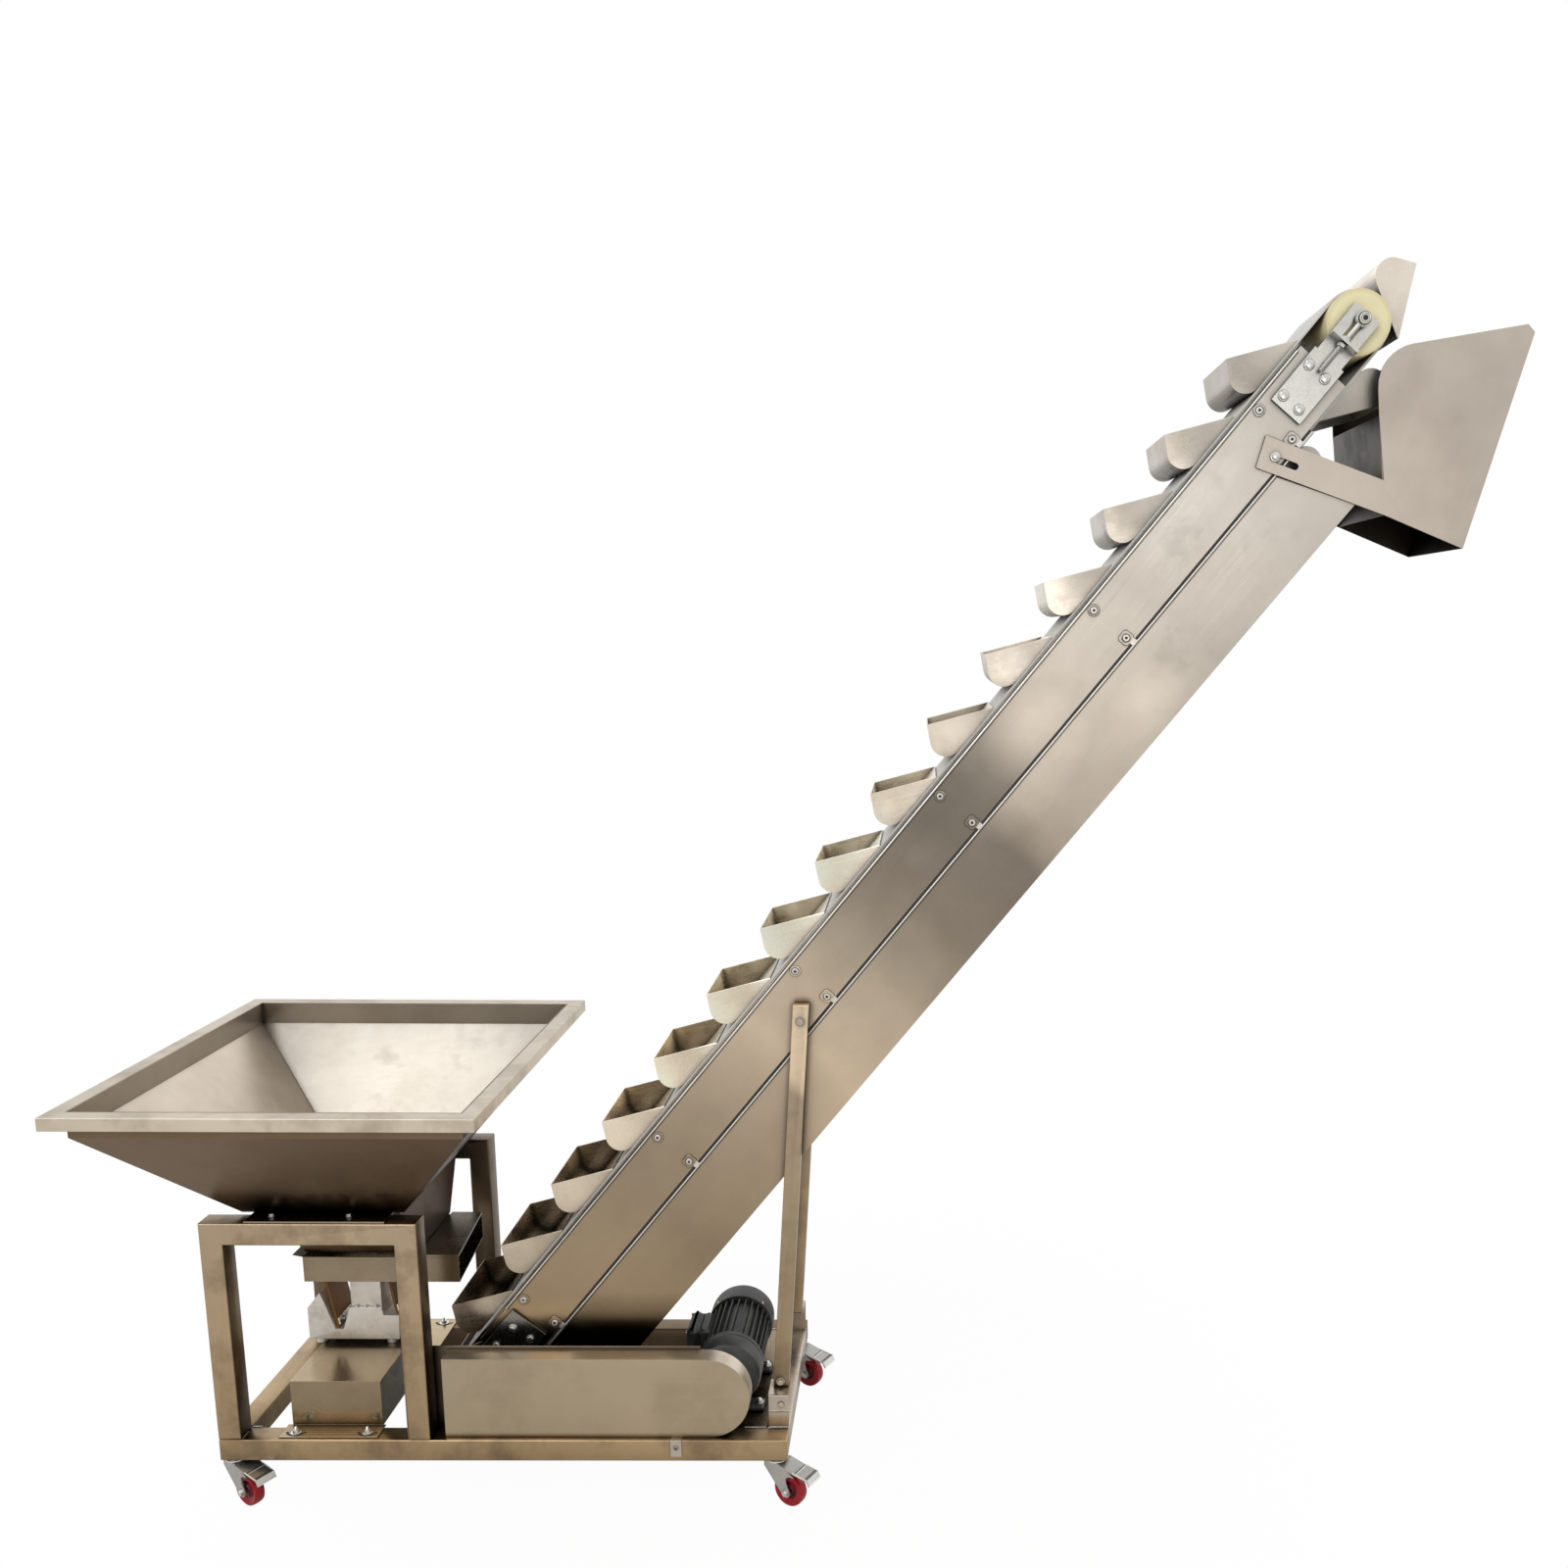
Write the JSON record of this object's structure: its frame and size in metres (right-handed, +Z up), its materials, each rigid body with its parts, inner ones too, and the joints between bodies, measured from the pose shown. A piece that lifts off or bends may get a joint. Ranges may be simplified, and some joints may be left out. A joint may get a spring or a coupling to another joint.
{
  "type": "bucket elevator",
  "caption": "Inclined belt bucket elevator in stainless steel with a feed hopper over a vibrating tray, a geared motor, a discharge chute and a base frame on braked castors.",
  "frame": {"origin": "on the floor under the middle of the machine's overall box", "axes": "+X from the feed hopper towards the discharge chute, +Y from the drive side to the far side, +Z up"},
  "size_m": [2.9496, 0.87, 2.6556],
  "materials": {
    "frame_steel": "brushed stainless steel tube, warm grey",
    "hopper_steel": "brushed stainless steel sheet",
    "feeder_steel": "brushed stainless steel, darker",
    "casing_steel": "brushed stainless steel sheet",
    "bucket_steel": "folded stainless steel sheet",
    "chute_steel": "brushed stainless steel sheet",
    "zinc_steel": "bright zinc plated steel",
    "belt_white": "white food belt",
    "nylon_cream": "cream cast nylon",
    "motor_grey": "dark green grey paint",
    "cast_aluminium": "rough cast aluminium",
    "spring_laminate": "brown glass laminate",
    "wheel_red": "dark red polyurethane"
  },
  "bodies": {
    "machine": {"front_rail": "frame_steel", "rear_rail": "frame_steel", "left_cross_beam": "frame_steel", "support_cross_beam": "frame_steel", "right_cross_beam": "frame_steel", "front_portal": "frame_steel", "rear_portal": "frame_steel", "chain_guard": "frame_steel", "near_leg": "frame_steel", "far_leg": "frame_steel", "hopper_rim": "hopper_steel", "hopper_cone": "hopper_steel", "front_hopper_mount": "feeder_steel", "rear_hopper_mount": "feeder_steel", "feeder_stand": "feeder_steel", "feeder_tray": "feeder_steel", "tray_cover": "feeder_steel", "motor_plate": "feeder_steel", "near_side_plate": "casing_steel", "far_side_plate": "casing_steel", "return_casing": "casing_steel", "belt_bed": "casing_steel", "bucket_01": "bucket_steel", "bucket_02": "bucket_steel", "bucket_03": "bucket_steel", "bucket_04": "bucket_steel", "bucket_05": "bucket_steel", "bucket_06": "bucket_steel", "bucket_07": "bucket_steel", "bucket_08": "bucket_steel", "bucket_09": "bucket_steel", "bucket_10": "bucket_steel", "bucket_11": "bucket_steel", "bucket_12": "bucket_steel", "bucket_13": "bucket_steel", "bucket_14": "bucket_steel", "bucket_15": "bucket_steel", "bucket_16": "bucket_steel", "bucket_belt": "belt_white", "discharge_chute": "chute_steel", "near_takeup": "zinc_steel", "far_takeup": "zinc_steel", "near_tail_plate": "zinc_steel", "far_tail_plate": "zinc_steel", "head_drum": "nylon_cream", "tail_drum": "nylon_cream", "gearmotor": "motor_grey", "vibrator_body": "cast_aluminium", "magnet_housing": "cast_aluminium", "left_leaf_spring": "spring_laminate", "right_leaf_spring": "spring_laminate"},
    "front_left_castor": {"front_left_fork": "zinc_steel"},
    "front_right_castor": {"front_right_fork": "zinc_steel"},
    "rear_left_castor": {"rear_left_fork": "zinc_steel"},
    "rear_right_castor": {"rear_right_fork": "zinc_steel"},
    "front_left_roller": {"front_left_wheel": "wheel_red"},
    "front_right_roller": {"front_right_wheel": "wheel_red"},
    "rear_left_roller": {"rear_left_wheel": "wheel_red"},
    "rear_right_roller": {"rear_right_wheel": "wheel_red"}
  },
  "joints": [
    {"name": "front_left_swivel", "type": "hinge", "parent": "machine", "child": "front_left_castor", "pos_m": [-1.25225, -0.24, 0.1035], "axis": [0, 0, 1], "continuous": true},
    {"name": "front_right_swivel", "type": "hinge", "parent": "machine", "child": "front_right_castor", "pos_m": [-0.05225, -0.24, 0.1035], "axis": [0, 0, 1], "continuous": true},
    {"name": "rear_left_swivel", "type": "hinge", "parent": "machine", "child": "rear_left_castor", "pos_m": [-1.25225, 0.24, 0.1035], "axis": [0, 0, 1], "continuous": true},
    {"name": "rear_right_swivel", "type": "hinge", "parent": "machine", "child": "rear_right_castor", "pos_m": [-0.05225, 0.24, 0.1035], "axis": [0, 0, 1], "continuous": true},
    {"name": "front_left_spin", "type": "hinge", "parent": "front_left_castor", "child": "front_left_roller", "pos_m": [-1.22107, -0.258, 0.0375], "axis": [0.5, 0.866, 0], "continuous": true},
    {"name": "front_right_spin", "type": "hinge", "parent": "front_right_castor", "child": "front_right_roller", "pos_m": [-0.02107, -0.258, 0.0375], "axis": [0.5, 0.866, 0], "continuous": true},
    {"name": "rear_left_spin", "type": "hinge", "parent": "rear_left_castor", "child": "rear_left_roller", "pos_m": [-1.22107, 0.222, 0.0375], "axis": [0.5, 0.866, 0], "continuous": true},
    {"name": "rear_right_spin", "type": "hinge", "parent": "rear_right_castor", "child": "rear_right_roller", "pos_m": [-0.02107, 0.222, 0.0375], "axis": [0.5, 0.866, 0], "continuous": true}
  ]
}
